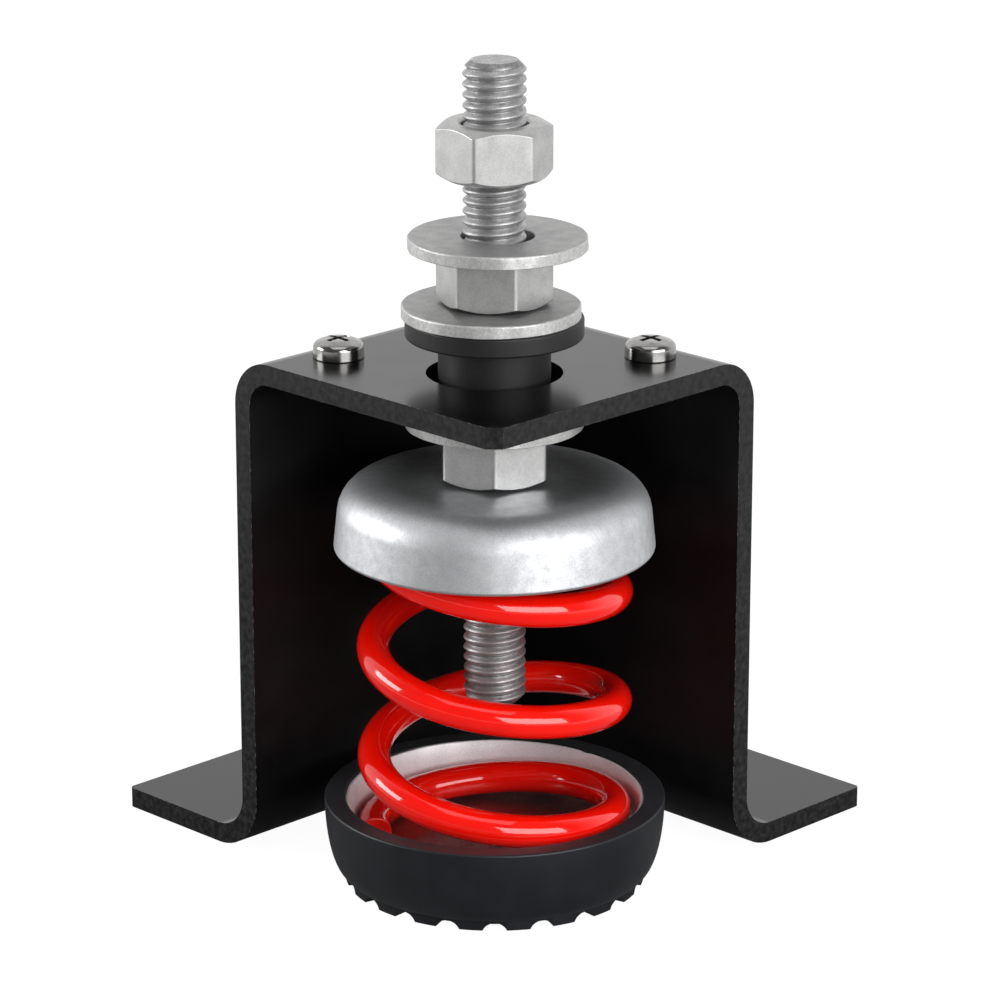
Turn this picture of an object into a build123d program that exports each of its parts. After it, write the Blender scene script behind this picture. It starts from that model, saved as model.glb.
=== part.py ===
from build123d import *
import math
import os

# Spring vibration isolator with a restraint housing
# A coil spring stands in a metal-lined rubber cup. A steel cap on the spring carries a threaded
# stud, and a rubber bush on the stud limits how far it moves in the hole of the housing plate.
# Origin: on the stud axis at floor level. Z is up, and the two housing walls face +X and +Y.
# All sizes are in millimetres and degrees.

# Rubber cup
cup_rim_radius = 32.2
cup_height = 16.4
cup_floor = 5.3
cup_side_rise = 14.4
cup_side_bulge = 3.7
tread_setback = 0.1
tread_notches = 20
tread_notch_radius = 2.45
tread_notch_rise = 1.5
tread_notch_depth = 3.2
rim_rounding = 0.5

# Steel liner pressed into the rubber cup
liner_radius = 28.2
liner_sheet = 1.2
liner_corner = 3.0
press_clearance = 0.1

# Coil spring, wound left-handed
wire_diameter = 6.2
coil_radius = 22.8
spring_height = 69.9
spring_turns = 3.65
end_flat_turns = 0.11
end_ramp_turns = 0.48
spring_start_angle = 145.5
coil_lean = 1.0
coil_lean_angle = 225.0
points_per_turn = 16
seat_clearance = 0.1

# Spring cap
cap_rim_radius = 30.0
cap_height = 13.2
cap_sheet = 2.0
cap_draft = 5.9
cap_shoulder = 6.5
cap_hole_clearance = 0.6
cap_edge_rounding = 0.7

# Stud, nuts and washers
stud_radius = 6.0
stud_length = 122.2
stud_tip_chamfer = 1.7
thread_clearance = 0.2
nut_across_flats = 19.0
nut_height = 10.4
nut_face_radius = 8.8
nut_chamfer_angle = 30.0
nut_countersink = 0.5
washer_radius = 16.6
washer_thickness = 2.4
washer_hole_radius = 6.75
washer_offset_share = 0.8
top_nut_lift = 10.8
top_nut_turn = 24.7
levelling_nut_turn = 6.2
lower_nut_turn = 45.0
stud_above_nut = 11.3

# Restraint bush
bush_radius = 10.4
bush_flange_radius = 16.5
bush_flange_thickness = 3.7
bush_bore_clearance = 0.15
bush_edge_rounding = 0.5
bounce_gap = 7.0
rebound_gap = 3.6
bush_hole_clearance = 2.25

# Folded housing
sheet = 4.0
free_edge_reach = 26.5
wall_reach = 42.0
foot_length = 33.5
plate_bend_radius = 5.0
foot_bend_radius = 7.0
seam_gap = 0.2
relief_margin = 1.0
front_corner_chamfer = 2.3
anchor_hole_radius = 5.5

# Pan-head screws in the housing plate
screw_radius = 2.5
screw_clearance = 0.1
screw_head_radius = 4.85
screw_head_height = 3.7
screw_head_edge = 1.2
screw_recess_width = 1.1
screw_recess_length = 5.4
screw_recess_depth = 1.9
screw_near = 13.0
screw_far = 28.0

# Heights of the stack, from the floor up
liner_floor_top = cup_floor + liner_sheet
spring_bottom = liner_floor_top + seat_clearance
cap_ceiling = spring_bottom + spring_height + seat_clearance
cap_top = cap_ceiling + cap_sheet
lower_washer_bottom = cap_top + nut_height
bush_bottom = lower_washer_bottom + washer_thickness
plate_bottom = bush_bottom + rebound_gap
plate_top = plate_bottom + sheet
bush_flange_bottom = plate_top + bounce_gap
bush_washer_bottom = bush_flange_bottom + bush_flange_thickness
levelling_nut_bottom = bush_washer_bottom + washer_thickness
clamp_washer_bottom = levelling_nut_bottom + nut_height
top_nut_bottom = clamp_washer_bottom + washer_thickness + top_nut_lift
stud_top = top_nut_bottom + nut_height + stud_above_nut
stud_bottom = stud_top - stud_length

# Base pad: a rubber cup with a notched tread
cup_bore_radius = liner_radius + press_clearance
cup_side_foot_radius = cup_rim_radius - cup_side_bulge
tread_radius = cup_side_foot_radius - tread_setback
cup_step = cup_height - cup_side_rise

with BuildPart() as base_pad:
    with BuildSketch(Plane.XZ) as cup_section:
        with BuildLine():
            side = EllipticalCenterArc(
                (cup_side_foot_radius, cup_height), cup_side_bulge, cup_side_rise, -90, arc_size=90
            )
            Polyline(side @ 0, (tread_radius, cup_step), (tread_radius, 0), (0, 0), (0, cup_floor))
            cup_inside = FilletPolyline(
                (0, cup_floor),
                (cup_bore_radius, cup_floor),
                (cup_bore_radius, cup_height),
                radius=liner_corner + press_clearance,
            )
            Line(cup_inside @ 1, side @ 1)
        make_face()
    revolve(axis=Axis.Z)
    rim_edges = base_pad.edges().filter_by(GeomType.CIRCLE).group_by(Axis.Z)[-1]
    fillet(rim_edges.sort_by(SortBy.RADIUS)[-1], rim_rounding)
    tread_notch_centre = tread_notch_rise - tread_notch_radius
    with BuildSketch(Plane.YZ.offset(tread_radius - tread_notch_depth)) as notch_section:
        with Locations((0, tread_notch_centre)):
            Circle(tread_notch_radius)
    for index in range(tread_notches):
        turn = 360 / tread_notches * (index + 0.5)
        add(
            extrude(
                notch_section.sketch, amount=2 * tread_notch_depth, mode=Mode.PRIVATE
            ).rotate(Axis.Z, turn),
            mode=Mode.SUBTRACT,
        )

# Base liner: a thin steel cup that spreads the spring's load
with BuildPart() as base_liner:
    with BuildSketch(Plane.XZ) as liner_section:
        with BuildLine():
            liner_outside = FilletPolyline(
                (0, cup_floor),
                (liner_radius, cup_floor),
                (liner_radius, cup_height),
                radius=liner_corner,
            )
            liner_inside = FilletPolyline(
                (0, liner_floor_top),
                (liner_radius - liner_sheet, liner_floor_top),
                (liner_radius - liner_sheet, cup_height),
                radius=liner_corner - liner_sheet,
            )
            Line(liner_outside @ 0, liner_inside @ 0)
            Line(liner_outside @ 1, liner_inside @ 1)
        make_face()
    revolve(axis=Axis.Z)

# Spring: the wire lies flat at each cut end and then climbs at an even pitch
coil_rise = spring_height - wire_diameter
coil_pitch = coil_rise / (spring_turns - 2 * end_flat_turns - end_ramp_turns)


def ramp_climb(turns):
    """Height climbed after some turns from a cut end, while the slope grows to the full pitch."""
    climbing = max(turns - end_flat_turns, 0)
    if climbing < end_ramp_turns:
        return coil_pitch * climbing**2 / (2 * end_ramp_turns)
    return coil_pitch * (climbing - end_ramp_turns / 2)


def coil_height(turns):
    """Height of the wire's centre, the same shape from either end."""
    if turns < spring_turns / 2:
        return ramp_climb(turns)
    return coil_rise - ramp_climb(spring_turns - turns)


def coil_sag(turns):
    """How far the free turns hang lower on one side, fading out over the ramp at either end."""
    free_turns = min(turns, spring_turns - turns) - end_flat_turns
    share = min(max(free_turns / end_ramp_turns, 0), 1)
    angle = math.radians(spring_start_angle - 360 * turns - coil_lean_angle)
    return coil_lean * math.cos(angle) * share**2 * (3 - 2 * share)


coil_steps = round(spring_turns * points_per_turn)
coil_points = []
for step in range(coil_steps + 1):
    turns = spring_turns * step / coil_steps
    angle = math.radians(spring_start_angle - 360 * turns)
    height = spring_bottom + wire_diameter / 2 + coil_height(turns) - coil_sag(turns)
    coil_points.append((coil_radius * math.cos(angle), coil_radius * math.sin(angle), height))

with BuildPart() as spring:
    with BuildLine() as coil:
        Spline(coil_points)
    with BuildSketch(Plane(origin=coil.line @ 0, z_dir=coil.line % 0)):
        Circle(wire_diameter / 2)
    sweep()

# Spring cap: a drawn steel cup turned over the top of the spring
cap_rim_bottom = cap_top - cap_height
cap_shoulder_radius = cap_rim_radius - cap_height * math.tan(math.radians(cap_draft))
cap_hole_radius = stud_radius + cap_hole_clearance
cap_inner_shoulder = cap_shoulder_radius + cap_sheet * math.tan(math.radians(cap_draft)) - cap_sheet

with BuildPart() as spring_cap:
    with BuildSketch(Plane.XZ) as cap_section:
        with BuildLine():
            cap_outside = FilletPolyline(
                (cap_hole_radius, cap_top),
                (cap_shoulder_radius, cap_top),
                (cap_rim_radius, cap_rim_bottom),
                radius=cap_shoulder,
            )
            cap_inside = FilletPolyline(
                (cap_hole_radius, cap_ceiling),
                (cap_inner_shoulder, cap_ceiling),
                (cap_rim_radius - cap_sheet, cap_rim_bottom),
                radius=cap_shoulder - cap_sheet,
            )
            Line(cap_outside @ 0, cap_inside @ 0)
            Line(cap_outside @ 1, cap_inside @ 1)
        make_face()
    revolve(axis=Axis.Z)
    cap_edges = spring_cap.edges().filter_by(GeomType.CIRCLE).group_by(Axis.Z)[0]
    fillet(cap_edges, cap_edge_rounding)


def hex_nut(seat, turn):
    """A hexagon nut standing on the height given, chamfered and countersunk at both ends."""
    corner_radius = nut_across_flats / 2 / math.cos(math.radians(30))
    drop = (corner_radius - nut_face_radius) * math.tan(math.radians(nut_chamfer_angle))
    top = seat + nut_height
    with BuildPart() as nut:
        with BuildSketch(Plane.XY.offset(seat)):
            RegularPolygon(nut_across_flats / 2, 6, major_radius=False, rotation=turn)
        extrude(amount=nut_height)
        with BuildSketch(Plane.XZ):
            with BuildLine():
                Polyline(
                    (0, seat),
                    (nut_face_radius, seat),
                    (corner_radius, seat + drop),
                    (corner_radius, top - drop),
                    (nut_face_radius, top),
                    (0, top),
                    close=True,
                )
            make_face()
        revolve(axis=Axis.Z, mode=Mode.INTERSECT)
        with BuildSketch(Plane.XY.offset(seat)):
            Circle(stud_radius + thread_clearance)
        extrude(amount=nut_height, mode=Mode.SUBTRACT)
        bore_edges = nut.edges().filter_by(GeomType.CIRCLE)
        chamfer(
            bore_edges.filter_by(lambda edge: edge.radius < stud_radius + 2 * thread_clearance),
            nut_countersink,
        )
    return nut


def plain_washer(seat, side_shift):
    """A flat washer on the height given, pushed sideways in its play on the stud."""
    play = washer_hole_radius - stud_radius
    reach = washer_offset_share * play * side_shift / math.sqrt(2)
    with BuildPart() as washer:
        with BuildSketch(Plane.XY.offset(seat)):
            with Locations((reach, -reach)):
                Circle(washer_radius)
                Circle(washer_hole_radius, mode=Mode.SUBTRACT)
        extrude(amount=washer_thickness)
    return washer


# Stud with its nuts and washers
with BuildPart() as stud:
    with BuildSketch(Plane.XY.offset(stud_bottom)):
        Circle(stud_radius)
    extrude(amount=stud_length)
    chamfer(stud.edges().filter_by(GeomType.CIRCLE), stud_tip_chamfer)

lower_nut = hex_nut(cap_top, lower_nut_turn)
levelling_nut = hex_nut(levelling_nut_bottom, levelling_nut_turn)
top_nut = hex_nut(top_nut_bottom, top_nut_turn)
lower_washer = plain_washer(lower_washer_bottom, 0)
bush_washer = plain_washer(bush_washer_bottom, -1)
clamp_washer = plain_washer(clamp_washer_bottom, 1)

# Bush: a rubber sleeve with a flange that meets the plate when the spring is overloaded
with BuildPart() as bush:
    with BuildSketch(Plane.XZ) as bush_section:
        bush_bore_radius = stud_radius + bush_bore_clearance
        with BuildLine():
            Polyline(
                (bush_bore_radius, bush_bottom),
                (bush_radius, bush_bottom),
                (bush_radius, bush_flange_bottom),
                (bush_flange_radius, bush_flange_bottom),
                (bush_flange_radius, bush_washer_bottom),
                (bush_bore_radius, bush_washer_bottom),
                close=True,
            )
        make_face()
        fillet(bush_section.vertices().group_by(Axis.X)[-1], bush_edge_rounding)
    revolve(axis=Axis.Z)

# Housing: one sheet folded down on two sides of the plate and out again into two feet
plate_hole_radius = bush_radius + bush_hole_clearance
bend_outside = plate_bend_radius + sheet
bend_line = wall_reach - bend_outside
fold_width = free_edge_reach + wall_reach - sheet - seam_gap
foot_tip = wall_reach + foot_length

with BuildPart() as housing:
    with BuildSketch(Plane.XZ.offset(free_edge_reach)) as fold_section:
        with BuildLine():
            fold_outside = FilletPolyline(
                (-free_edge_reach, plate_top),
                (wall_reach, plate_top),
                (wall_reach, sheet),
                (foot_tip, sheet),
                radius=[bend_outside, foot_bend_radius],
            )
            fold_inside = FilletPolyline(
                (-free_edge_reach, plate_bottom),
                (wall_reach - sheet, plate_bottom),
                (wall_reach - sheet, 0),
                (foot_tip, 0),
                radius=[plate_bend_radius, foot_bend_radius + sheet],
            )
            Line(fold_outside @ 0, fold_inside @ 0)
            Line(fold_outside @ 1, fold_inside @ 1)
        make_face()
    extrude(amount=-fold_width)
    # Beyond the bend line of the other wall, the plate and its bend are left out
    with BuildSketch(Plane.XY.offset(plate_top - bend_outside)):
        with Locations((-free_edge_reach, bend_line)):
            Rectangle(
                free_edge_reach + wall_reach, bend_outside, align=(Align.MIN, Align.MIN)
            )
    extrude(amount=bend_outside, mode=Mode.SUBTRACT)
    # Anchor hole in the middle of the foot
    with BuildSketch(Plane.XY):
        with Locations((wall_reach + foot_length / 2, fold_width / 2 - free_edge_reach)):
            Circle(anchor_hole_radius)
    extrude(amount=sheet, mode=Mode.SUBTRACT)
    # The other wall and foot mirror the first across the plate's diagonal
    mirror(about=Plane(origin=(0, 0, 0), z_dir=(1, -1, 0)))
    # Holes for the bush and the two screws, and a round relief where the two bends meet
    with BuildSketch(Plane.XY.offset(plate_bottom)):
        Circle(plate_hole_radius)
        with Locations((screw_far, -screw_near), (-screw_near, screw_far)):
            Circle(screw_radius + screw_clearance)
    extrude(amount=sheet, mode=Mode.SUBTRACT)
    with BuildSketch(Plane.XY.offset(plate_top - bend_outside)):
        with Locations((wall_reach - sheet, wall_reach - sheet)):
            Circle(plate_bend_radius * math.sqrt(2) + relief_margin)
    extrude(amount=bend_outside, mode=Mode.SUBTRACT)
    front_edge = housing.edges().filter_by(Axis.Z).sort_by(Axis((0, 0, 0), (1, 1, 0)))[0]
    chamfer(front_edge, front_corner_chamfer)


def pan_screw(x, y):
    """A cross-recessed pan-head screw seated on the plate, its shank flush below."""
    with BuildPart() as screw:
        with BuildSketch(Plane((x, y, plate_top), x_dir=(1, 0, 0), z_dir=(0, -1, 0))):
            with BuildLine():
                dome = EllipticalCenterArc(
                    (0, screw_head_edge),
                    screw_head_radius,
                    screw_head_height - screw_head_edge,
                    0,
                    arc_size=90,
                )
                Polyline(
                    dome @ 0,
                    (screw_head_radius, 0),
                    (screw_radius, 0),
                    (screw_radius, -sheet),
                    (0, -sheet),
                    dome @ 1,
                )
            make_face()
        revolve(axis=Axis((x, y, 0), (0, 0, 1)))
        with BuildSketch(Plane((x, y, plate_top + screw_head_height))):
            Rectangle(screw_recess_length, screw_recess_width)
            Rectangle(screw_recess_width, screw_recess_length)
        extrude(amount=-screw_recess_depth, mode=Mode.SUBTRACT)
    return screw


screw_left = pan_screw(-screw_near, screw_far)
screw_right = pan_screw(screw_far, -screw_near)

# One file for each piece
pieces = {
    "base_pad": base_pad,
    "base_liner": base_liner,
    "spring": spring,
    "spring_cap": spring_cap,
    "stud": stud,
    "lower_nut": lower_nut,
    "lower_washer": lower_washer,
    "bush": bush,
    "bush_washer": bush_washer,
    "levelling_nut": levelling_nut,
    "clamp_washer": clamp_washer,
    "top_nut": top_nut,
    "housing": housing,
    "screw_left": screw_left,
    "screw_right": screw_right,
}
os.makedirs("parts", exist_ok=True)
for name, piece in pieces.items():
    piece.part.label = name
    export_step(piece.part, f"parts/{name}.step")
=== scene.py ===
# %% [markdown]
# # A spring vibration isolator
# A coil spring stands in a rubber cup and wears a pressed steel cap. A long stud rises from the cap
# through a folded housing, with nuts, washers and a rubber bush on it. This lesson dresses the plain
# CAD model of that part, one piece and one finish at a time, until it looks like the real thing.
# The CAD model comes first, because it holds the frame: every piece below goes exactly where its
# CAD solid is, and rides on the same moving body.

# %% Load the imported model
import math
import bmesh
import bpy
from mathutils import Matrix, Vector, noise


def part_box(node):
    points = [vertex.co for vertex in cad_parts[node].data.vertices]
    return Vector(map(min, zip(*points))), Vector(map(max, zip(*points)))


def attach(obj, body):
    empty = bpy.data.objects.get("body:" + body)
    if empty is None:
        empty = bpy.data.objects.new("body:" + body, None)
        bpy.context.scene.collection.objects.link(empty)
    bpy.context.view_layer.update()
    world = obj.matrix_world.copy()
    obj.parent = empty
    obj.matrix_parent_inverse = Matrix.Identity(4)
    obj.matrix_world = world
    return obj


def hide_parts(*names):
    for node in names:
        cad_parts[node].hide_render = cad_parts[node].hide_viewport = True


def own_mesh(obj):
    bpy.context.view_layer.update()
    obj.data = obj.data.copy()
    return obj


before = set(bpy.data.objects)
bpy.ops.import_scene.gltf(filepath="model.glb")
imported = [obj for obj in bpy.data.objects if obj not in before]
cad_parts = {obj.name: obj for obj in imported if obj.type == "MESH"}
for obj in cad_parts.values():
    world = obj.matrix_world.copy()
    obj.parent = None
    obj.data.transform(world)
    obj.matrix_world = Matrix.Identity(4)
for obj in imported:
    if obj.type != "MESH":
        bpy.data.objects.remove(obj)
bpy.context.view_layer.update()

# %% [markdown]
# ## Sizes
# Blender works in metres here, and a maker thinks in millimetres, so one value turns the second into
# the first. The heights of the stack are read from the boxes of the CAD nodes instead of being typed
# again, so the dressed pieces can't drift away from the solids they stand for.

# %% Millimetres, and where each CAD piece starts and ends
mm = 0.001
near_axis = 0.01  # spun outlines stop this far from the axis, which leaves a hole too fine to see
front_angle = math.radians(225)  # the open corner of the housing, where the camera stands


def bottom(node):
    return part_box(node)[0][2] / mm


def top(node):
    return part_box(node)[1][2] / mm


def middle(node):
    low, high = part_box(node)
    return (low[0] + high[0]) / 2 / mm, (low[1] + high[1]) / 2 / mm


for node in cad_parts:
    print(f"{node:14s} from {bottom(node):6.1f} to {top(node):6.1f} mm")

# %% [markdown]
# ## Colours and nodes
# Colours are picked as sRGB hex values, because that is what a colour picker on a photograph gives.
# The renderer mixes light in linear values, so one function converts them. A material is a small
# tree of nodes, and one more function adds a node with its settings and links. Every finish below is
# built from the same few steps: noise with spots of a known size, a colour picked between two tones,
# and a bump of a known depth. Each step has a function of its own, so the recipes stay short enough to
# read, and all their sizes are in millimetres.

# %% Colours, nodes and the steps that every finish shares


def linear(colour):
    channels = [int(colour[i:i + 2], 16) / 255 for i in (1, 3, 5)]
    return [c / 12.92 if c <= 0.04045 else ((c + 0.055) / 1.055) ** 2.4 for c in channels] + [1.0]


def add(tree, kind, settings=None, inputs=None):
    node = tree.nodes.new("ShaderNode" + kind)
    for name, value in (settings or {}).items():
        setattr(node, name, value)
    for name, value in (inputs or {}).items():
        socket = node.inputs[name]
        if isinstance(value, bpy.types.NodeSocket):
            tree.links.new(value, socket)
        else:
            socket.default_value = value
    return node


def new_finish(name):
    """An empty material, its tree of nodes and the place of each point on the object."""
    finish = bpy.data.materials.new(name)
    finish.use_nodes = True
    tree = finish.node_tree
    tree.nodes.clear()
    return finish, tree, add(tree, "TexCoord").outputs["Object"]


def spots(tree, place, size, detail):
    """Noise between 0 and 1 with spots of about the given size in millimetres."""
    scale = 1 / (size * mm)
    return add(tree, "TexNoise", inputs={"Vector": place, "Scale": scale, "Detail": detail}).outputs["Fac"]


def tones(tree, amount, *stops):
    """A colour between two stops, each a position and a colour, picked by the amount."""
    ramp = add(tree, "ValToRGB", inputs={"Fac": amount})
    for element, (position, colour) in zip(ramp.color_ramp.elements, stops):
        element.position = position
        element.color = linear(colour)
    return ramp.outputs["Color"]


def bump(tree, height, depth):
    """Dents and bumps of the given depth in millimetres."""
    relief = add(tree, "Bump", inputs={"Height": height, "Strength": 1.0, "Distance": depth * mm})
    return relief.outputs["Normal"]


def finish_with(tree, shader):
    add(tree, "OutputMaterial", inputs={"Surface": shader.outputs[0]})


print("A mid grey in linear light:", round(linear("#808080")[0], 3))

# %% [markdown]
# ## Zinc on the nuts, washers and stud
# The fasteners are steel with a barrel-plated zinc coat. It gives the eye a pale neutral grey metal with
# a fine frosty grain, duller on the washers than on the nuts. Bare metal in the Principled shader is
# metallic 1 with the default IOR, which suits the smooth pressed cap. A frosted coat also scatters some
# light the way paint does, so metallic comes down a little on the fasteners and most on the thin liner.
# The rest is a high roughness, a grain of about a third of a millimetre and a trace of wider clouds.
# One recipe makes them all, so painted light and shade only need other values: darker zinc under the nuts
# and in the valleys of the thread is painted shade, paler zinc on the washers' rims is painted light, and
# darker zinc on the floor of the pan is painted shade. Nickel on the screws is the same recipe again, much
# smoother.

# %% The zinc finishes


def zinc(name, pale, dark, cloud, grain, metal, smooth, rough, depth):
    """Frosty metal: clouds and grains in millimetres set its tone and its roughness together."""
    finish, tree, place = new_finish(name)
    clouds = spots(tree, place, cloud, 3.0)
    grains = spots(tree, place, grain, 2.0)
    half = add(tree, "Math", {"operation": "MULTIPLY"}, {0: clouds, 1: 0.5})
    both = add(tree, "Math", {"operation": "MULTIPLY_ADD"}, {0: grains, 1: 0.5, 2: half.outputs[0]})
    low, high = 0.36, 0.64  # most of the mixed noise lies between these
    colour = tones(tree, both.outputs[0], (low, dark), (high, pale))
    dull = add(tree, "MapRange", inputs={"Value": both.outputs[0], "From Min": low, "From Max": high,
                                         "To Min": rough, "To Max": smooth})
    shader = add(tree, "BsdfPrincipled", inputs={
        "Base Color": colour, "Metallic": metal, "Roughness": dull.outputs[0],
        "Normal": bump(tree, grains, depth)})
    finish_with(tree, shader)
    return finish


# Tones, widths of clouds and grains, metallic, lowest and highest roughness, depth of the grains
nut_zinc = zinc("zinc_plated_nuts", "#cbcbc9", "#b4b4b4", 3.0, 0.32, 0.93, 0.4, 0.48, 0.01)
# Darker zinc on the faces under the nuts is painted shade, where a nut meets its washer.
shaded_zinc_under_nuts = zinc("painted_shade_zinc_under_the_nuts", "#5e5e5f", "#3f3f40", 3.0, 0.32, 0.8, 0.6, 0.7, 0.01)
washer_zinc = zinc("zinc_plated_washers", "#b4b4b3", "#a2a2a2", 2.5, 0.35, 0.8, 0.46, 0.54, 0.014)
# Paler zinc on the washers' rims is painted light, for the light their sides catch.
lit_rim_zinc = zinc("painted_light_zinc_on_the_rims", "#d6d6d4", "#b6b6b5", 0.8, 0.3, 0.75, 0.42, 0.56, 0.015)
thread_zinc = zinc("zinc_plated_thread", "#c4c4c4", "#a2a2a3", 1.6, 0.3, 0.92, 0.44, 0.54, 0.015)
# Darker zinc in the valleys of the thread is painted shade.
shaded_valley_zinc = zinc("painted_shade_zinc_in_the_thread", "#a8a8a9", "#858586", 1.6, 0.3, 0.92, 0.46, 0.56, 0.015)
cap_zinc = zinc("zinc_plated_pressing", "#eaebed", "#ced0d3", 2.0, 0.3, 1.0, 0.5, 0.6, 0.008)
liner_zinc = zinc("zinc_plated_liner", "#ececee", "#d6d6d8", 6.0, 0.3, 0.4, 0.5, 0.6, 0.006)
# Darker zinc on the floor of the pan is painted shade.
shaded_pan_zinc = zinc("painted_shade_zinc_on_the_pan_floor", "#b2acaa", "#8c8785", 5.0, 0.4, 1.0, 0.34, 0.44, 0.008)
screw_nickel = zinc("nickel_plated_screws", "#acaba9", "#92918e", 1.5, 0.25, 1.0, 0.15, 0.22, 0.004)
print("Zinc and nickel finishes are ready")

# %% [markdown]
# ## The smoother middle of the cap
# Pressing stretches the sheet over the shoulder and frosts its zinc, while the flat top stays smooth. So
# the cap's roughness and its colour are both scaled by the distance from the axis, in a soft step between
# the flat top and the shoulder. The darker grey of the flat top is painted shade.

# %% Scale the cap's finish by its radius
flat_top_radius = 17.0
frosted_radius = 25.0
tree = cap_zinc.node_tree
shader = next(node for node in tree.nodes if node.type == "BSDF_PRINCIPLED")
place = add(tree, "TexCoord").outputs["Object"]
across = add(tree, "VectorMath", {"operation": "MULTIPLY"}, {0: place, 1: (1, 1, 0)})
radius = add(tree, "VectorMath", {"operation": "LENGTH"}, {0: across.outputs["Vector"]})
# The flat top gets a lower roughness and a darker colour; the darker colour is painted shade.
for name, flat_share in (("Roughness", 0.8), ("Base Color", 0.78)):
    drawn = shader.inputs[name].links[0].from_socket
    share = add(tree, "MapRange", {"interpolation_type": "SMOOTHSTEP"},
                {"Value": radius.outputs["Value"], "From Min": flat_top_radius * mm,
                 "From Max": frosted_radius * mm, "To Min": flat_share, "To Max": 1.0})
    scaled = add(tree, "VectorMath", {"operation": "SCALE"}, {0: drawn, "Scale": share.outputs[0]})
    tree.links.new(scaled.outputs["Vector"], shader.inputs[name])
print("The cap's flat top is smoother and greyer than its shoulder")

# %% [markdown]
# ## Red powder coat on the spring
# The spring is steel wire under a thick, glossy red powder coat. It gives the eye one even, strong red
# with long white highlights that follow the wire. The shader's clear coat makes those highlights, and
# the red below keeps only a weak gloss of its own, so no white haze washes it out. A powder coat never
# lies quite flat, so a shallow ripple about 2 mm wide bends the highlights a little.

# %% The red finish
ripple_width = 2.2
ripple_depth = 0.012
shade_width = 9.0
red_coat, tree, place = new_finish("red_powder_coat")
ripple = spots(tree, place, ripple_width, 1.0)
shade = spots(tree, place, shade_width, 2.0)
red = tones(tree, shade, (0.3, "#ee0e03"), (0.7, "#f61405"))
wave = bump(tree, ripple, ripple_depth)
shader = add(tree, "BsdfPrincipled", inputs={
    "Base Color": red, "Roughness": 0.14, "IOR": 1.5, "Specular IOR Level": 0.2, "Normal": wave,
    "Coat Weight": 1.0, "Coat Roughness": 0.05, "Coat Normal": wave})
finish_with(tree, shader)
print("Red finish is ready")

# %% [markdown]
# ## Black paint on the housing
# The housing is folded from 4 mm steel and stoved in black powder paint. Seen from low down it mirrors the
# pale surroundings softly, and seen straight on it is nearly black. That change comes from the Fresnel
# effect of any varnish, so the colour stays dark and the roughness does the work. The paint has a fine
# orange peel. Inside the corner it went on drier and stays matt. On the cut edges it lies thin over the
# saw and punch marks, so the same recipe gets smaller and stronger mottling there. Along the arrises, the
# sharp lines where two faces meet, pale specks stand partly for paint rubbed through and partly for a
# painted highlight.

# %% The black finishes


def black_paint(name, dark, pale, patch, roughness, shine, peel, depth, first=0.35, full=0.7):
    """Paint whose patches turn from dark to pale where their noise goes from first to full."""
    finish, tree, place = new_finish(name)
    skin = spots(tree, place, peel, 2.0)
    patches = spots(tree, place, patch, 3.0)
    colour = tones(tree, patches, (first, dark), (full, pale))
    dull = add(tree, "MapRange", inputs={"Value": patches, "From Min": 0.3, "From Max": 0.7,
                                         "To Min": roughness * 0.9, "To Max": roughness * 1.15})
    shader = add(tree, "BsdfPrincipled", inputs={
        "Base Color": colour, "Roughness": dull.outputs[0], "IOR": 1.42, "Specular IOR Level": shine,
        "Normal": bump(tree, skin, depth)})
    finish_with(tree, shader)
    return finish


# Tones, width of patches, roughness, specular level, width and depth of the orange peel
sheet_paint = black_paint("black_stoved_paint", "#070708", "#0b0b0c", 8.0, 0.2, 0.5, 0.9, 0.003)
inner_paint = black_paint("black_paint_inside_the_corner", "#060607", "#0a0a0b", 8.0, 0.45, 0.35, 0.9,
                          0.003)
edge_paint = black_paint("black_paint_on_cut_edges", "#0b0b0c", "#28282a", 1.2, 0.46, 0.4, 0.5, 0.02)
# Pale specks on the arrises are partly worn paint and partly a painted highlight.
worn_and_lit_arris_paint = black_paint("worn_paint_and_painted_highlight_on_the_arrises", "#0c0c0d", "#8a8a8c", 0.8, 0.4, 0.5, 0.4, 0.02,
                         first=0.52, full=0.64)
print("Black finishes are ready")

# %% [markdown]
# ## Moulded rubber
# The cup and the bush are moulded rubber. The cup is bluish black with a soft sheen, and the bush is
# drier and more matt. Rubber reflects little, so a rough surface with a low sheen and a faint cloudy
# bloom of wax tells it from paint.

# %% The rubber finishes
bloom_width = 6.0


def rubber(name, dark, bloom, roughness, sheen, pore, depth):
    finish, tree, place = new_finish(name)
    clouds = spots(tree, place, bloom_width, 4.0)
    pores = spots(tree, place, pore, 2.0)
    colour = tones(tree, clouds, (0.35, dark), (0.8, bloom))
    shader = add(tree, "BsdfPrincipled", inputs={
        "Base Color": colour, "Roughness": roughness, "IOR": 1.52, "Sheen Weight": sheen,
        "Normal": bump(tree, pores, depth)})
    finish_with(tree, shader)
    return finish


# Tones, roughness, sheen, width and depth of the pores
cup_rubber = rubber("moulded_cup_rubber", "#0f1116", "#171a20", 0.42, 0.03, 0.5, 0.012)
bush_rubber = rubber("moulded_bush_rubber", "#0b0b0c", "#141415", 0.55, 0.02, 0.4, 0.02)
print("Rubber finishes are ready")

# %% [markdown]
# ## Tools for round pieces
# Most of this part was turned, pressed or moulded round an axis. Such a piece is a drawn outline spun
# about that axis. The Screw modifier could spin it, but nuts, notches and worn rims need a radius that
# changes with the angle. So the outline is a list of rows, each row is a ring of points worked out by a
# small function, and one helper sews the rings together. The last helper here cleans a mesh, softens its
# edges, tells the frame which body it rides on, names it after the CAD node it stands for and hides that
# node.

# %% Rings sewn into a mesh
weld_distance = 0.0005


def polar(radius, angle):
    return radius * math.cos(angle), radius * math.sin(angle)


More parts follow.
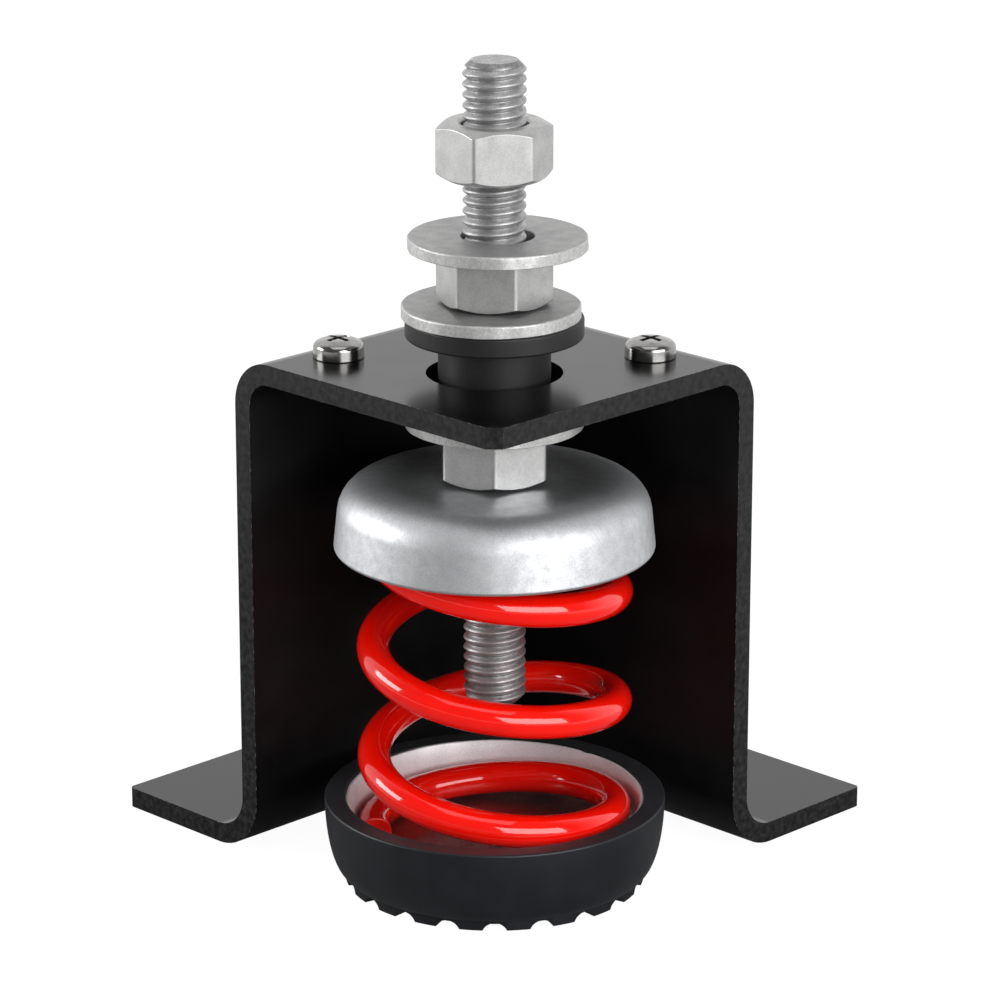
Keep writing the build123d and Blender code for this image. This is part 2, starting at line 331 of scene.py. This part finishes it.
def spread(first, last, steps):
    """Evenly spaced values from the first to the last."""
    return [first + (last - first) * step / steps for step in range(steps + 1)]


def new_mesh(name, points, faces):
    """A mesh from points in millimetres."""
    mesh = bpy.data.meshes.new(name)
    mesh.from_pydata([Vector(point) * mm for point in points], [], faces)
    return mesh


def sew(name, rings, closed=False, tips=()):
    """Join each ring to the next. Closed joins the last to the first, and two tips close the ends."""
    count = len(rings[0])
    points = [point for ring in rings for point in ring]
    faces = []
    for row in range(len(rings) if closed else len(rings) - 1):
        here = row * count
        above = (row + 1) % len(rings) * count
        for i in range(count):
            j = (i + 1) % count
            faces.append((here + i, here + j, above + j, above + i))
    for tip, row in zip(tips, (0, len(rings) - 1)):
        faces += [(row * count + i, row * count + (i + 1) % count, len(points)) for i in range(count)]
        points.append(tip)
    return new_mesh(name, points, faces)


def arc_corners(corners, steps=5):
    """An outline of (radius, height, rounding) corners, with each corner rounded."""
    line = []
    for i, (r, z, rounding) in enumerate(corners):
        here = Vector((r, z))
        if rounding == 0 or i in (0, len(corners) - 1):
            line.append((r, z))
            continue
        back = (Vector(corners[i - 1][:2]) - here).normalized()
        ahead = (Vector(corners[i + 1][:2]) - here).normalized()
        half = back.angle(ahead) / 2
        reach = rounding / math.tan(half)
        centre = here + (back + ahead).normalized() * (rounding / math.sin(half))
        first = here + back * reach - centre
        sweep = math.pi - 2 * half
        if first.x * (ahead.y - back.y) - first.y * (ahead.x - back.x) < 0:
            sweep = -sweep
        for turn in spread(0, sweep, steps):
            line.append((centre.x + first.x * math.cos(turn) - first.y * math.sin(turn),
                         centre.y + first.x * math.sin(turn) + first.y * math.cos(turn)))
    return line


def spin(outline, columns=128, centre=(0, 0), change=None):
    """Rings for each (radius, height) of the outline; change may move a point by its angle."""
    rings = []
    for r, z in outline:
        ring = []
        for i in range(columns):
            angle = 2 * math.pi * i / columns
            radius, height = change(angle, r, z) if change else (r, z)
            x, y = polar(radius, angle)
            ring.append((centre[0] + x, centre[1] + y, height))
        rings.append(ring)
    return rings


def add_object(name, data):
    thing = bpy.data.objects.new(name, data)
    bpy.context.scene.collection.objects.link(thing)
    return thing


def weld(shape):
    """Merge points that lie on each other, and remove the faces that have no area."""
    bmesh.ops.remove_doubles(shape, verts=shape.verts, dist=weld_distance * mm)
    bmesh.ops.dissolve_degenerate(shape, dist=weld_distance * mm, edges=shape.edges)


def place_piece(mesh, body, node, finish, edge=0.0, limit=25):
    """Clean the mesh, round every edge that is sharper than the limit in degrees, and let it ride."""
    name = node + "_dressed"
    shape = bmesh.new()
    shape.from_mesh(mesh)
    weld(shape)
    bmesh.ops.recalc_face_normals(shape, faces=shape.faces)
    for face in shape.faces:
        face.smooth = True
    shape.to_mesh(mesh)
    shape.free()
    piece = add_object(name, mesh)
    mesh.materials.append(finish)
    if edge:
        soften = piece.modifiers.new("soft_edges", "BEVEL")
        soften.width = edge * mm
        soften.segments = 3
        soften.limit_method = "ANGLE"
        soften.angle_limit = math.radians(limit)
    even = piece.modifiers.new("even_shading", "WEIGHTED_NORMAL")
    even.keep_sharp = True
    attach(piece, body)
    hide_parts(node)
    print(f"{name}: {len(mesh.polygons)} faces, rides on {body}")
    return piece


def second_finish(mesh, finish, chosen):
    """Give the chosen faces of a mesh another finish."""
    mesh.materials.append(finish)
    index = len(mesh.materials) - 1
    faces = [face for face in mesh.polygons if chosen(face)]
    for face in faces:
        face.material_index = index
    print(f"{mesh.name}: {finish.name} on {len(faces)} faces")


# %% [markdown]
# ## Hexagon nuts
# A nut is a hexagon whose corners were cut off by a 30 degree cone at both ends, which leaves the curved
# line across each flat. Cutting solids would do it, but here the hexagon's outline is walked point by
# point and the cone's height is worked out for each point, so the curve is exact and the mesh stays
# tidy. The corners are rounded by nearly a millimetre, as on a forged nut.

# %% The three nuts
nut_across_flats = 19.0
nut_face_radius = 8.8
nut_bore_radius = 6.2
nut_countersink = 0.5
nut_cone_slope = math.tan(math.radians(30))
nut_corner_rounding = 0.9
nut_soft_edge = 0.14


def hexagon(turn):
    """Points round a hexagon with rounded corners, one of which lies at the angle turn in degrees."""
    corner_reach = (nut_across_flats / 2 - nut_corner_rounding) / math.cos(math.radians(30))

    def round_corner(heading):
        x, y = polar(corner_reach, math.radians(heading))
        bends = [polar(nut_corner_rounding, math.radians(heading + bend)) for bend in spread(-30, 30, 4)]
        return [(x + dx, y + dy) for dx, dy in bends]

    outline = []
    for side in range(6):
        outline += round_corner(turn + 60 * side)
        x1, y1 = outline[-1]
        x2, y2 = round_corner(turn + 60 * (side + 1))[0]
        outline += list(zip(spread(x1, x2, 12), spread(y1, y2, 12)))[1:-1]
    return outline


def nut_end(outline, end, inward):
    """Rings from the bore, over the countersink and the flat face, to the foot of the cone."""
    rings = [[(x * radius / math.hypot(x, y), y * radius / math.hypot(x, y), end + inward * inset)
              for x, y in outline]
             for radius, inset in ((nut_bore_radius, nut_countersink),
                                   (nut_bore_radius + nut_countersink, 0),
                                   (nut_face_radius, 0))]
    return rings + [[(x, y, end + inward * (math.hypot(x, y) - nut_face_radius) * nut_cone_slope)
                     for x, y in outline]]


def nut(node, body, turn, shade_below):
    """A nut turned by some degrees. Faces that look down more than the given limit get darker zinc as
    painted shade.
    """
    outline = hexagon(turn)
    rings = nut_end(outline, bottom(node), 1) + nut_end(outline, top(node), -1)[::-1]
    mesh = sew(node + "_dressed", rings, closed=True)
    place_piece(mesh, body, node, nut_zinc, nut_soft_edge, 22)
    second_finish(mesh, shaded_zinc_under_nuts, lambda face: face.normal.z < shade_below)


nut("lower_nut", "stud", 45.0, -0.3)
nut("levelling_nut", "stud", 6.2, -0.3)
nut("top_nut", "top_nut", 24.7, -0.95)

# %% [markdown]
# ## Washers
# The washers were punched from strip. The punch rounds the edge it enters by and tears the other, so the
# upper edge is rolled over a little, and the rim wobbles by a few hundredths of a millimetre.

# %% The three washers
washer_radius = 16.6
washer_hole_radius = 6.75
washer_lower_rounding = 0.15
washer_upper_rounding = 0.45
washer_hole_rounding = 0.3
wide_wobble = 0.05
fine_wobble = 0.03


def rough_rim(angle, r, z):
    """Move the outermost 0.4 mm in by a wobble that never passes the true radius."""
    if r > washer_radius - 0.4:
        wobble = wide_wobble * math.sin(9 * angle + 1.3 * z) + fine_wobble * math.sin(23 * angle + z)
        return r - wide_wobble - fine_wobble + wobble, z
    return r, z


def washer(node):
    low, high = bottom(node), top(node)
    outline = arc_corners([
        (washer_hole_radius, (low + high) / 2, 0),
        (washer_hole_radius, low, washer_lower_rounding),
        (washer_radius, low, washer_lower_rounding),
        (washer_radius, high, washer_upper_rounding),
        (washer_hole_radius, high, washer_hole_rounding),
        (washer_hole_radius, (low + high) / 2, 0),
    ])[:-1]
    mesh = sew(node + "_dressed", spin(outline, 144, middle(node), rough_rim), closed=True)
    place_piece(mesh, "stud", node, washer_zinc)

    def on_rim(face):
        reach = math.dist(middle(node), (face.center.x / mm, face.center.y / mm))
        return abs(face.normal.z) < 0.75 and reach > washer_radius - 0.6

    # The rims get paler zinc as painted light.
    second_finish(mesh, lit_rim_zinc, on_rim)


for node in ("lower_washer", "bush_washer", "clamp_washer"):
    washer(node)

# %% [markdown]
# ## The stud and its thread
# The stud has a rolled thread whose teeth stand 1.95 mm apart in the photograph. The zinc fills its
# valleys a little and rounds its crests. A bump map would fake the thread, but its teeth show against
# the white background, so it is real geometry. The points climb steadily round the rod, and after one
# turn each row meets the row one tooth higher, which makes a true right-handed helix from a plain grid.

# %% The threaded stud
stud_radius = 6.0
thread_pitch = 1.95
stud_tip_radius = 4.3
valley_radius = 5.25
thread_unevenness = 0.07
tooth = [(0.0, 5.84), (0.12, 5.77), (0.26, 5.48), (0.4, 5.1),  # each a share of the pitch, and a radius
         (0.5, 4.98), (0.6, 5.1), (0.74, 5.48), (0.88, 5.77)]
columns = 48
low, high = bottom("stud"), top("stud")
rows = int((high - low) / thread_pitch + 3) * len(tooth)
points = []
for i in range(columns):
    angle = 2 * math.pi * i / columns
    for k in range(rows):
        turns = k // len(tooth) - 1
        phase, radius = tooth[k % len(tooth)]
        z = low + thread_pitch * (turns + phase + i / columns)
        z = min(max(z, low), high)
        radius += thread_unevenness * noise.noise((*polar(2, angle), 0.55 * z))
        radius = min(radius, stud_radius, stud_tip_radius + (z - low), stud_tip_radius + (high - z))
        points.append((*polar(radius, angle), z))
faces = []
for i in range(columns):
    j = (i + 1) % columns
    lift = len(tooth) if j == 0 else 0
    for k in range(rows - 1):
        if k + 1 + lift < rows:
            faces.append((i * rows + k, j * rows + k + lift, j * rows + k + 1 + lift, i * rows + k + 1))
mesh = new_mesh("stud_dressed", points, faces)
shape = bmesh.new()
shape.from_mesh(mesh)
weld(shape)
bmesh.ops.delete(shape, geom=[v for v in shape.verts if not v.link_faces], context="VERTS")
for end in (low, high):
    rim = [e for e in shape.edges if e.is_boundary and
           all(abs(v.co.z / mm - end) < 0.001 for v in e.verts)]
    bmesh.ops.contextual_create(shape, geom=rim)
print("Open edges left on the stud:", sum(e.is_boundary for e in shape.edges))
shape.to_mesh(mesh)
shape.free()
place_piece(mesh, "stud", "stud", thread_zinc)
# The valleys of the thread get darker zinc as painted shade.
second_finish(mesh, shaded_valley_zinc, lambda face: abs(face.normal.z) < 0.9
              and math.hypot(face.center.x, face.center.y) < valley_radius * mm)

# %% [markdown]
# ## The coil spring
# The spring is 6 mm wire under its coat, wound left-handed. It lies flat at each end, then climbs at an
# even pitch, and the ends are sawn square. Its free turns sag by a millimetre towards the open corner. A
# curve with a bevel would give the wire, but the slope follows its own rules, so the tube is made ring
# by ring along the same formula as the solid.

# %% The spring wire
wire_diameter = 6.2
coil_radius = 22.8
spring_turns = 3.65
end_flat_turns = 0.11
end_ramp_turns = 0.48
spring_start_angle = 145.5
coil_lean = 1.0
coil_lean_angle = 225.0
wire_radius = wire_diameter / 2
cut_rounding = 0.35
wire_points = 32
wire_steps = 340
spring_low, spring_high = bottom("spring"), top("spring")
coil_rise = spring_high - spring_low - wire_diameter
coil_pitch = coil_rise / (spring_turns - 2 * end_flat_turns - end_ramp_turns)


def ramp_climb(turns):
    climbing = max(turns - end_flat_turns, 0)
    if climbing < end_ramp_turns:
        return coil_pitch * climbing**2 / (2 * end_ramp_turns)
    return coil_pitch * (climbing - end_ramp_turns / 2)


def coil_sag(turns):
    """How far the wire lies below its even pitch, fading out towards the flat ends."""
    free_turns = min(turns, spring_turns - turns) - end_flat_turns
    share = min(max(free_turns / end_ramp_turns, 0), 1)
    angle = math.radians(spring_start_angle - 360 * turns - coil_lean_angle)
    return coil_lean * math.cos(angle) * share**2 * (3 - 2 * share)


def wire_centre(turns):
    if turns < spring_turns / 2:
        height = ramp_climb(turns)
    else:
        height = coil_rise - ramp_climb(spring_turns - turns)
    angle = math.radians(spring_start_angle - 360 * turns)
    return Vector((*polar(coil_radius, angle), spring_low + wire_radius + height - coil_sag(turns)))


def wire_ring(turns, radius, push=0.0):
    """A circle of points square to the wire, pushed along it by some millimetres."""
    here = wire_centre(turns)
    step = 0.0005
    along = (wire_centre(turns + step) - wire_centre(turns - step)).normalized()
    out = Vector((here.x, here.y, 0)).normalized()
    out = (out - along * out.dot(along)).normalized()
    up = along.cross(out)
    return [tuple(here + along * push + radius * (out * math.cos(a) + up * math.sin(a)))
            for a in (2 * math.pi * i / wire_points for i in range(wire_points))]


def sawn_end(turns, inward):
    """Rings over the rounded edge of a cut, from its face to the full wire."""
    return [wire_ring(turns, wire_radius - cut_rounding * (1 - math.sin(bend)),
                      inward * cut_rounding * (1 - math.cos(bend)))
            for bend in spread(0, math.pi / 2, 4)]


rings = sawn_end(0, 1)
rings += [wire_ring(spring_turns * step / wire_steps, wire_radius) for step in range(2, wire_steps - 1)]
rings += sawn_end(spring_turns, -1)[::-1]
mesh = sew("spring_dressed", rings, tips=(wire_centre(0), wire_centre(spring_turns)))
spring = place_piece(mesh, "base", "spring", red_coat)
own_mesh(spring)

# %% [markdown]
# ## The spring cap
# The cap was pressed from 2 mm sheet. Pressing leaves a wide soft shoulder outside and a tighter one
# inside, straight sides that lean out a little, and a trimmed edge at the bottom.

# %% The pressed cap
cap_rim_radius = 30.0
cap_sheet = 2.0
cap_draft = math.tan(math.radians(5.9))
cap_shoulder = 6.5
cap_hole_radius = 6.6
cap_hole_rounding = 0.2
cap_edge_rounding = 0.7
cap_low, cap_top = bottom("spring_cap"), top("spring_cap")
shoulder_radius = cap_rim_radius - (cap_top - cap_low) * cap_draft
inner_shoulder = shoulder_radius + cap_sheet * cap_draft - cap_sheet
outline = arc_corners([
    (cap_hole_radius, cap_top - cap_sheet / 2, 0),
    (cap_hole_radius, cap_top, cap_hole_rounding),
    (shoulder_radius, cap_top, cap_shoulder),
    (cap_rim_radius, cap_low, cap_edge_rounding),
    (cap_rim_radius - cap_sheet, cap_low, cap_edge_rounding),
    (inner_shoulder, cap_top - cap_sheet, cap_shoulder - cap_sheet),
    (cap_hole_radius, cap_top - cap_sheet, cap_hole_rounding),
    (cap_hole_radius, cap_top - cap_sheet / 2, 0),
], 8)[:-1]
mesh = sew("spring_cap_dressed", spin(outline, 160), closed=True)
place_piece(mesh, "cap", "spring_cap", cap_zinc)

# %% [markdown]
# ## The liner
# A thin steel pan lines the rubber cup. Its top edge was drawn thin and only sheared, so it is a little
# uneven, with a few small nicks, and it lies lower at the front, where the rubber lip hides it. The floor
# of the pan gets a darker zinc, which is painted shade.

# %% The liner
liner_radius = 28.2
liner_sheet = 1.2
liner_corner = 3.0
liner_thinned_height = 2.4
liner_thinned_sheet = 0.5
liner_edge_rounding = 0.2
liner_front_dip = 1.2
liner_wave = 0.03
nick_depth = 0.8
nick_rarity = 0.35
cup_floor = bottom("base_liner")
rim_height = top("base_liner")
thinned_from = rim_height - liner_thinned_height


def sheared_edge(angle, r, z):
    """Pull the thinned edge down: most at the front, a little in waves, and in a few nicks."""
    if z > thinned_from:
        front = liner_front_dip * (1 + math.cos(angle - front_angle)) / 2
        waves = liner_wave * (1 + math.sin(5 * angle) + math.sin(13 * angle + 1))
        nick = nick_depth * max(0.0, noise.noise((*polar(6, angle), 0.3)) - nick_rarity)
        return r, z - max(0.0, front + waves + nick) * (z - thinned_from) / liner_thinned_height
    return r, z


outline = arc_corners([
    (near_axis, cup_floor, 0),
    (liner_radius, cup_floor, liner_corner),
    (liner_radius, thinned_from, 0),
    (liner_radius, rim_height, liner_edge_rounding),
    (liner_radius - liner_thinned_sheet, rim_height, liner_edge_rounding),
    (liner_radius - liner_sheet, thinned_from, 0),
    (liner_radius - liner_sheet, cup_floor + liner_sheet, liner_corner - liner_sheet),
    (near_axis, cup_floor + liner_sheet, 0),
], 8)
mesh = sew("base_liner_dressed", spin(outline, 240, change=sheared_edge), closed=True)
place_piece(mesh, "base", "base_liner", liner_zinc)
# The floor of the pan gets darker zinc as painted shade.
second_finish(mesh, shaded_pan_zinc, lambda face: face.normal.z > 0.7
              and face.center.z < (cup_floor + liner_sheet + 1.3) * mm)

# %% [markdown]
# ## The rubber cup
# The cup is one moulding with bulging sides. It stands on a ring of tread blocks with twenty arched gaps
# between them, so it grips and sheds water. The arches are made by placing the columns of points where
# each arch needs them, so its edge is a clean curve.

# %% The moulded cup
cup_rim_radius = 32.2
cup_height = top("base_pad")
cup_side_rise = 14.4
cup_side_bulge = 3.7
tread_radius = 28.4
tread_notches = 20
tread_notch_radius = 2.45
tread_notch_rise = 1.5
tread_notch_depth = 3.2
press_clearance = 0.1
cup_rim_rounding = 0.4
cup_mouth_rounding = 0.25
cup_soft_edge = 0.12
arch_centre = tread_notch_rise - tread_notch_radius
arch_start = math.asin(-arch_centre / tread_notch_radius)
cup_columns = []
for index in range(tread_notches):
    gap = 2 * math.pi / tread_notches * (index + 0.5)
    for lean in spread(math.pi - arch_start, arch_start, 14):
        height = arch_centre + tread_notch_radius * math.sin(lean)
        cup_columns.append((gap + math.asin(tread_notch_radius * math.cos(lean) / tread_radius),
                            max(height, 0.0)))
    after = 2 * math.pi / tread_notches * (index + 1)
    foot = cup_columns[-1][0]
    cup_columns += [(angle, 0.0) for angle in spread(foot, 2 * after - foot, 6)[1:-1]]


def cup_ring(r, z, arched=False):
    """A ring of the cup, which follows the arches of the tread where it is arched."""
    return [(*polar(r, angle), z + height if arched else z) for angle, height in cup_columns]


notch_inside = tread_radius - tread_notch_depth
foot_radius = cup_rim_radius - cup_side_bulge
rings = [cup_ring(r, 0) for r in (near_axis, 12, notch_inside - 0.5, notch_inside)]
rings += [cup_ring(notch_inside, 0, arched=True), cup_ring(tread_radius, 0, arched=True)]
rings.append(cup_ring(tread_radius, cup_height - cup_side_rise))
for bend in spread(0, 0.98 * math.pi / 2, 16):
    rings.append(cup_ring(foot_radius + cup_side_bulge * math.sin(bend),
                          cup_height - cup_side_rise * math.cos(bend)))
lip = arc_corners([
    (cup_rim_radius, cup_height - 0.5, 0),
    (cup_rim_radius, cup_height, cup_rim_rounding),
    (liner_radius + press_clearance, cup_height, cup_mouth_rounding),
    (liner_radius + press_clearance, cup_floor, liner_corner + press_clearance),
    (near_axis, cup_floor, 0),
], 6)
rings += [cup_ring(r, z) for r, z in lip[1:]]
mesh = sew("base_pad_dressed", rings, closed=True)
place_piece(mesh, "base", "base_pad", cup_rubber, cup_soft_edge, 35)

# %% [markdown]
# ## The rubber bush
# A flanged rubber sleeve on the stud keeps steel from hitting steel. It is a plain moulding, so the
# outline does the work, with the edges rounded as a mould gives them.

# %% The flanged bush
bush_radius = 10.4
bush_flange_radius = 16.5
bush_flange_thickness = 3.7
bush_bore = 6.15
bush_bore_rounding = 0.2
bush_sleeve_rounding = 0.4
bush_flange_rounding = 0.5
bush_low, bush_top = bottom("bush"), top("bush")
flange_low = bush_top - bush_flange_thickness
outline = arc_corners([
    (bush_bore, (bush_low + bush_top) / 2, 0),
    (bush_bore, bush_low, bush_bore_rounding),
    (bush_radius, bush_low, bush_sleeve_rounding),
    (bush_radius, flange_low, bush_sleeve_rounding),
    (bush_flange_radius, flange_low, bush_flange_rounding),
    (bush_flange_radius, bush_top, bush_flange_rounding),
    (bush_bore, bush_top, bush_bore_rounding),
    (bush_bore, (bush_low + bush_top) / 2, 0),
])[:-1]
mesh = sew("bush_dressed", spin(outline), closed=True)
place_piece(mesh, "stud", "bush", bush_rubber)

# %% [markdown]
# ## The folded housing
# The housing is the CAD solid's own shape, because its bends and its corner relief are already right.
# What a solid lacks is the soft edge that paint leaves, and a different look on the cut edges. A copy of
# the mesh is cleaned, the corners of the feet are rounded by a millimetre, and the cut edges and the faces
# inside the corner get their own finishes. A bevel of a quarter of a millimetre softens every sharp edge,
# and its own material index puts pale specks on just those strips, partly worn paint and partly a painted
# highlight.

# %% The housing with painted edges
sheet = 4.0
free_edge = 26.5
foot_tip = 75.5
foot_corner_rounding = 1.0
wall_zone = 30.0
housing_soft_edge = 0.25
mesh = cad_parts["housing"].data.copy()
mesh.materials.clear()
shape = bmesh.new()
shape.from_mesh(mesh)
bmesh.ops.remove_doubles(shape, verts=shape.verts, dist=0.002 * mm)
bmesh.ops.dissolve_limit(shape, angle_limit=math.radians(0.5), verts=shape.verts, edges=shape.edges)
foot_corners = [e for e in shape.edges if all(max(v.co.x, v.co.y) / mm > foot_tip - 0.1 for v in e.verts)
                and abs(e.verts[0].co.z - e.verts[1].co.z) / mm > sheet - 0.1]
bmesh.ops.bevel(shape, geom=foot_corners, offset=foot_corner_rounding * mm, segments=4,
                affect="EDGES", profile=0.5)
print("Foot corners rounded:", len(foot_corners))
shape.to_mesh(mesh)
shape.free()
housing = place_piece(mesh, "base", "housing", sheet_paint, housing_soft_edge, 40)


def cut_edge(face):
    """The free edges, the slanted end of the plate's corner and the ends of the feet."""
    x, y = face.center.x / mm, face.center.y / mm
    slanted = face.normal.x < -0.6 and face.normal.y < -0.6
    return slanted or min(x, y) < -free_edge + 0.3 or max(x, y) > foot_tip - 0.9


def inside_corner(face):
    """The faces of the walls towards the spring, which look in and lie in the zone of the walls."""
    looks_in = min(face.normal.x, face.normal.y) < -0.3
    return looks_in and max(face.center.x, face.center.y) / mm > wall_zone and not cut_edge(face)


second_finish(mesh, inner_paint, inside_corner)
second_finish(mesh, edge_paint, cut_edge)
# The bevel strips get pale specks, partly worn paint and partly a painted highlight.
mesh.materials.append(worn_and_lit_arris_paint)
housing.modifiers["soft_edges"].material = len(mesh.materials) - 1

# %% [markdown]
# ## The pan-head screws
# Two nickel-plated screws sit in the plate. A pan head has a straight side, a round shoulder and a
# nearly flat top with a cross recess. The head is spun, and a tapered cross is cut out of it with a
# Boolean modifier, because a recess with slanting walls is hard to draw into rings.

# %% The screws
screw_radius = 2.5
head_radius = 4.85
head_height = 3.67
head_shoulder = 2.75
head_taper = 0.15
shoulder_rounding = 1.3
crown_radius = 2.6
crown_drop = 0.1
crown_rounding = 3.0
small_rounding = 0.2
screw_soft_edge = 0.12
recess_arm = 2.7
recess_half_width = 0.55
recess_depth = 2.4


def cross_cutter(x, y, z):
    """A cross whose arms are shorter at its floor, and reach out above the head so it cuts clean."""
    points = []
    for height, share in ((-recess_depth, 0.55), (0.8, 1.12)):
        for ux, uy in ((1, 0), (0, 1), (-1, 0), (0, -1)):
            for along, aside in ((recess_arm * share, -recess_half_width),
                                 (recess_arm * share, recess_half_width),
                                 (recess_half_width, recess_half_width)):
                points.append((x + along * ux - aside * uy, y + along * uy + aside * ux, z + height))
    count = len(points) // 2
    faces = [tuple(range(count))[::-1], tuple(range(count, 2 * count))]
    faces += [(i, (i + 1) % count, count + (i + 1) % count, count + i) for i in range(count)]
    return add_object("cross_cutter", new_mesh("cross_cutter", points, faces))


def screw(node):
    x, y = middle(node)
    seat = top("housing")
    outline = arc_corners([
        (near_axis, bottom(node), 0),
        (screw_radius, bottom(node), small_rounding),
        (screw_radius, seat, 0),
        (head_radius, seat, small_rounding),
        (head_radius - head_taper, seat + head_shoulder, shoulder_rounding),
        (crown_radius, seat + head_height - crown_drop, crown_rounding),
        (near_axis, seat + head_height, 0),
    ], 8)
    blank = add_object(node + "_blank", sew(node + "_blank", spin(outline, 96, (x, y)), closed=True))
    tool = cross_cutter(x, y, seat + head_height)
    cut = blank.modifiers.new("recess", "BOOLEAN")
    cut.operation = "DIFFERENCE"
    cut.solver = "EXACT"
    cut.object = tool
    bpy.context.view_layer.update()
    seen = blank.evaluated_get(bpy.context.evaluated_depsgraph_get())
    mesh = bpy.data.meshes.new_from_object(seen)
    bpy.data.objects.remove(blank)
    bpy.data.objects.remove(tool)
    place_piece(mesh, "base", node, screw_nickel, screw_soft_edge, 35)


screw("screw_left")
screw("screw_right")

# %% [markdown]
# ## Floor and surroundings
# The photograph has a plain white ground. The floor is white to the camera through Light Path, with a
# share of ordinary matt surface kept in, so the part still drops a soft shadow. Reflections see the
# floor's glow dim round a point just in front of the part, rising to white about half a metre out: that
# dim patch is painted shade, made by the glow and not by any lamp. That is what keeps the black paint
# black. Two glowing shaders are joined by the camera's own rays, so the dimming never shows in the picture
# itself.

# %% The floor
white = linear("#ffffff")
floor_reach = 3000
floor_glow = 0.8
dim_centre = (-0.2, -0.08, 0.0)


def any_ray(tree, path, *kinds):
    """1 for light rays of any of these kinds, and 0 for all others."""
    found = path.outputs[kinds[0]]
    for kind in kinds[1:]:
        found = add(tree, "Math", {"operation": "MAXIMUM"}, {0: found, 1: path.outputs[kind]}).outputs[0]
    return found


def mix(tree, share, first, second):
    return add(tree, "MixShader", inputs={0: share, 1: first.outputs[0], 2: second.outputs[0]})


floor_mesh = new_mesh("studio_floor", [(-floor_reach, -floor_reach, 0), (floor_reach, -floor_reach, 0),
                                       (floor_reach, floor_reach, 0), (-floor_reach, floor_reach, 0)],
                      [(0, 1, 2, 3)])
floor = add_object("studio_floor", floor_mesh)
floor_white, tree, spot = new_finish("white_studio_floor")
path = add(tree, "LightPath")
seen = any_ray(tree, path, "Is Camera Ray", "Is Glossy Ray", "Is Transmission Ray")
share = add(tree, "Math", {"operation": "MULTIPLY"}, {0: seen, 1: floor_glow})
matt = add(tree, "BsdfDiffuse", inputs={"Color": linear("#c8c8c8")})
away = add(tree, "VectorMath", {"operation": "DISTANCE"}, {0: spot, 1: dim_centre})
# The glow seen in reflections is painted shade: dim near the part, white farther out.
mirrored = add(tree, "MapRange", {"interpolation_type": "SMOOTHSTEP"},
               {"Value": away.outputs["Value"], "From Min": 0.2, "From Max": 0.55,
                "To Min": 0.06, "To Max": 1.0})
pictured = add(tree, "Emission", inputs={"Color": white, "Strength": 1.2})
reflected = add(tree, "Emission", inputs={"Color": white, "Strength": mirrored.outputs[0]})
glow = mix(tree, path.outputs["Is Camera Ray"], reflected, pictured)
finish_with(tree, mix(tree, share.outputs[0], matt, glow))
floor_mesh.materials.append(floor_white)

# %% [markdown]
# ## The world
# The surroundings are white to the camera. In reflections they are white behind the part and fall to
# dark grey overhead and on the near side, as in a studio where only the backdrop is lit and the ceiling
# and the room behind the photographer are dim. That keeps the red deep, gives the metal its contrast
# and lets the black plate mirror the bright background.

# %% World light
world = bpy.data.worlds.new("studio")
bpy.context.scene.world = world
world.use_nodes = True
tree = world.node_tree
tree.nodes.clear()
path = add(tree, "LightPath")
way = add(tree, "TexCoord").outputs["Generated"]
to_backdrop = (0.66, 0.66, -0.36)
far_side = add(tree, "VectorMath", {"operation": "DOT_PRODUCT"}, {0: way, 1: to_backdrop})
room = add(tree, "MapRange", {"interpolation_type": "SMOOTHSTEP"},
           {"Value": far_side.outputs["Value"], "From Min": -0.35, "From Max": 0.35,
            "To Min": 0.12, "To Max": 1.0})
pictured = add(tree, "Background", inputs={"Color": white, "Strength": 1.0})
reflected = add(tree, "Background", inputs={"Color": white, "Strength": room.outputs[0]})
soft = add(tree, "Background", inputs={"Color": white, "Strength": 0.38})
shiny = any_ray(tree, path, "Is Glossy Ray", "Is Transmission Ray")
lighting = mix(tree, shiny, soft, reflected)
surroundings = mix(tree, path.outputs["Is Camera Ray"], lighting, pictured)
add(tree, "OutputWorld", inputs={"Surface": surroundings.outputs[0]})

# %% [markdown]
# ## Lamps
# The highlights on the wire show where the real lamps stood: a wide soft box to the right of the camera,
# a little above it, and a narrower one far to the left. A weak third one overhead lights the cap's
# round shoulder. Area lamps of those sizes give the same long highlights.

# %% Three soft boxes


def point_at(thing, target):
    aim = Vector(target) - thing.location
    thing.rotation_euler = aim.to_track_quat("-Z", "Y").to_euler()


def soft_box(name, azimuth, height, distance, width, tall, power):
    """A lamp in metres and watts, placed by its angle from the camera's side to the right in degrees."""
    data = bpy.data.lights.new(name, "AREA")
    data.shape = "RECTANGLE"
    data.size = width
    data.size_y = tall
    data.energy = power
    lamp = add_object(name, data)
    lamp.location = (*polar(distance, front_angle + math.radians(azimuth)), height)
    point_at(lamp, (0, 0, 0.07))
    lamp.visible_camera = False


# Angle from the camera's side, height, distance, width, height of the box and power
soft_box("right_soft_box", 38, 0.38, 1.0, 1.05, 0.6, 10.5)
soft_box("left_soft_box", -92, 0.34, 0.9, 0.48, 0.33, 4.0)
soft_box("top_soft_box", 0, 1.3, 0.25, 0.95, 0.95, 3.4)

# %% [markdown]
# ## The camera
# The camera's place was worked out from the edges in the photograph. It stands in front of the open
# corner, about 0.82 m from the middle of the part, and looks down by 17.5 degrees.

# %% The camera
camera_data = bpy.data.cameras.new("camera")
camera = add_object("camera", camera_data)
camera.location = (-0.55218, -0.55218, 0.3213)
point_at(camera, (0.000711, -0.000711, 0.07435))
camera_data.sensor_width = 36.0
camera_data.lens = 159.07
bpy.context.scene.camera = camera
bpy.context.scene.view_settings.view_transform = "Standard"
